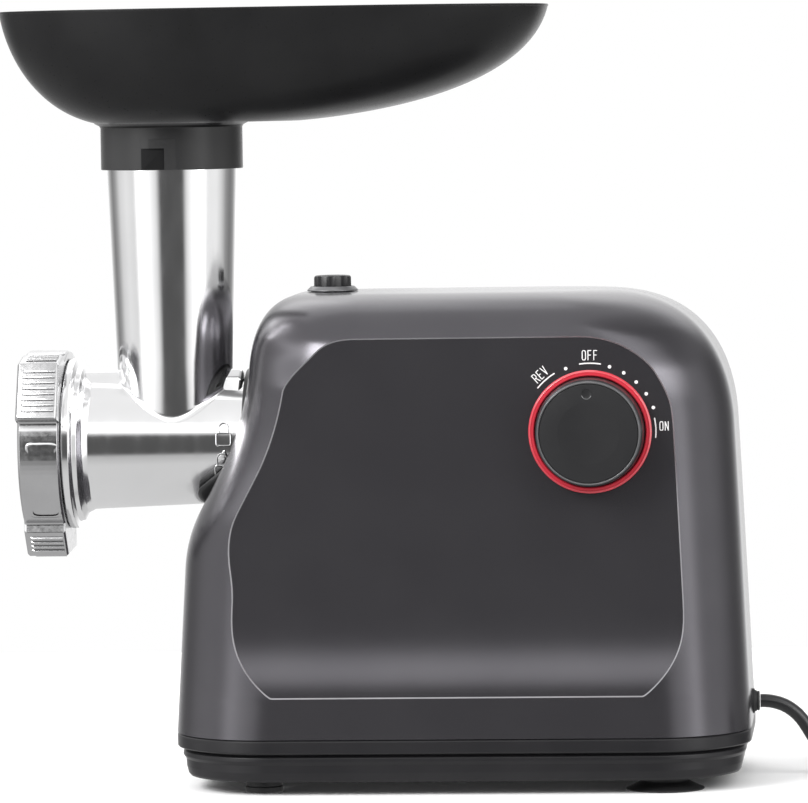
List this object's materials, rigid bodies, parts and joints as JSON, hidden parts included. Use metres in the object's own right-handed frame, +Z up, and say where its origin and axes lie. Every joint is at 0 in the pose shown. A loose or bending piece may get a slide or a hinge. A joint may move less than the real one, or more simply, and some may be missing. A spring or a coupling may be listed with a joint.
{
  "type": "electric meat grinder",
  "caption": "Electric meat grinder: dark grey motor housing with a side dial, polished metal grinding head with ring nut, and a black oval food tray on the feed tube.",
  "frame": {"origin": "middle of the object's bounding box, without the mains cord, at the level of the feet's soles", "axes": "+X from the grinding head towards the cord end, +Y away from the control dial's side, +Z up"},
  "size_m": [0.4688, 0.1623, 0.3085],
  "materials": {
    "shell_grey": "satin",
    "base_grey": "satin",
    "tray_black": "glossy",
    "black_plastic": "satin",
    "red_plastic": "glossy",
    "polished_aluminium": "polished",
    "plain_aluminium": "machined",
    "steel": "brushed",
    "copper": "satin",
    "brass": "satin",
    "nylon": "satin",
    "rubber": "matte",
    "board_green": "satin"
  },
  "bodies": {
    "housing": {"housing_left_shell": "shell_grey", "housing_right_shell": "shell_grey", "base_tray": "base_grey", "front_foot_left": "rubber", "front_foot_right": "rubber", "rear_foot_left": "rubber", "rear_foot_right": "rubber", "head_socket": "black_plastic", "button_bezel": "black_plastic", "release_spring": "steel", "dial_ring": "red_plastic", "rotary_switch": "black_plastic", "gear_axle_1": "steel", "gear_axle_2": "steel", "gearbox_front_plate": "plain_aluminium", "gearbox_rear_plate": "plain_aluminium", "motor_stator": "steel", "motor_bracket": "plain_aluminium", "brush_holder_left": "brass", "brush_holder_right": "brass", "control_board": "board_green", "cord_gland": "rubber", "cord_coil": "rubber", "power_cord": "rubber", "cord_tail": "rubber", "power_plug": "black_plastic", "cord_tie": "black_plastic", "base_screw_1": "steel", "gearbox_spacer_1": "steel", "base_screw_2": "steel", "gearbox_spacer_2": "steel", "base_screw_3": "steel", "gearbox_spacer_3": "steel", "base_screw_4": "steel", "gearbox_spacer_4": "steel"},
    "dial": {"control_dial": "black_plastic", "switch_shaft": "steel"},
    "release_button": {"release_button": "black_plastic"},
    "lock_ring": {"lock_ring": "black_plastic"},
    "head": {"head_casting": "polished_aluminium", "feed_tube": "polished_aluminium"},
    "auger": {"auger": "plain_aluminium", "cutting_knife": "steel", "auger_washer": "nylon"},
    "plate": {"grinding_plate": "steel"},
    "ring_nut": {"ring_nut": "polished_aluminium"},
    "food_tray": {"food_tray": "tray_black"},
    "motor": {"motor_shaft": "steel", "motor_armature": "steel", "commutator": "copper", "cooling_fan": "nylon", "motor_pinion": "steel"},
    "gear_1": {"gear_stage_1": "nylon"},
    "gear_2": {"gear_stage_2": "nylon"},
    "output": {"output_gear": "steel", "drive_socket": "steel"}
  },
  "joints": [
    {"name": "head_pull", "type": "slide", "parent": "housing", "child": "head", "axis": [-1, 0, 0], "range_m": [0, 0.07]},
    {"name": "tray_lift", "type": "slide", "parent": "head", "child": "food_tray", "axis": [0, 0, 1], "range_m": [0, 0.045]},
    {"name": "plate_travel", "type": "slide", "parent": "head", "child": "plate", "axis": [-1, 0, 0], "range_m": [0, 0.01401]},
    {"name": "nut_turn", "type": "hinge", "parent": "plate", "child": "ring_nut", "pos_m": [-0.132, 0.0035, 0.1353], "axis": [-1, 0, 0], "range_deg": [0, 1260]},
    {"name": "lock_turn", "type": "hinge", "parent": "housing", "child": "lock_ring", "pos_m": [-0.0497, 0.0035, 0.1353], "axis": [-1, 0, 0], "range_deg": [0, 35]},
    {"name": "button_press", "type": "slide", "parent": "housing", "child": "release_button", "axis": [0, 0, -1], "range_m": [0, 0.003], "stiffness_N_per_m": 500, "springref_m": -0.004, "deforming": ["release_spring"]},
    {"name": "dial_turn", "type": "hinge", "parent": "housing", "child": "dial", "pos_m": [0.0884, -0.06, 0.1416], "axis": [0, -1, 0], "range_deg": [-87, 40]},
    {"name": "motor_spin", "type": "hinge", "parent": "housing", "child": "motor", "pos_m": [0.08, 0.0035, 0.066], "axis": [1, 0, 0], "continuous": true},
    {"name": "gear_1_spin", "type": "hinge", "parent": "housing", "child": "gear_1", "pos_m": [0.03, -0.01578, 0.08898], "axis": [1, 0, 0], "continuous": true},
    {"name": "gear_2_spin", "type": "hinge", "parent": "housing", "child": "gear_2", "pos_m": [0.02, 0.02171, 0.08981], "axis": [1, 0, 0], "continuous": true},
    {"name": "output_spin", "type": "hinge", "parent": "housing", "child": "output", "pos_m": [0.01, 0.0035, 0.1353], "axis": [1, 0, 0], "continuous": true},
    {"name": "auger_spin", "type": "hinge", "parent": "head", "child": "auger", "pos_m": [-0.08, 0.0035, 0.1353], "axis": [1, 0, 0], "continuous": true}
  ],
  "couplings": [
    {"joint": "plate_travel", "follows": "nut_turn", "m_per_rad": 0.00063662},
    {"joint": "gear_1_spin", "follows": "motor_spin", "ratio": -0.2},
    {"joint": "gear_2_spin", "follows": "motor_spin", "ratio": 0.05},
    {"joint": "output_spin", "follows": "motor_spin", "ratio": -0.016667},
    {"joint": "auger_spin", "follows": "motor_spin", "ratio": -0.016667}
  ]
}
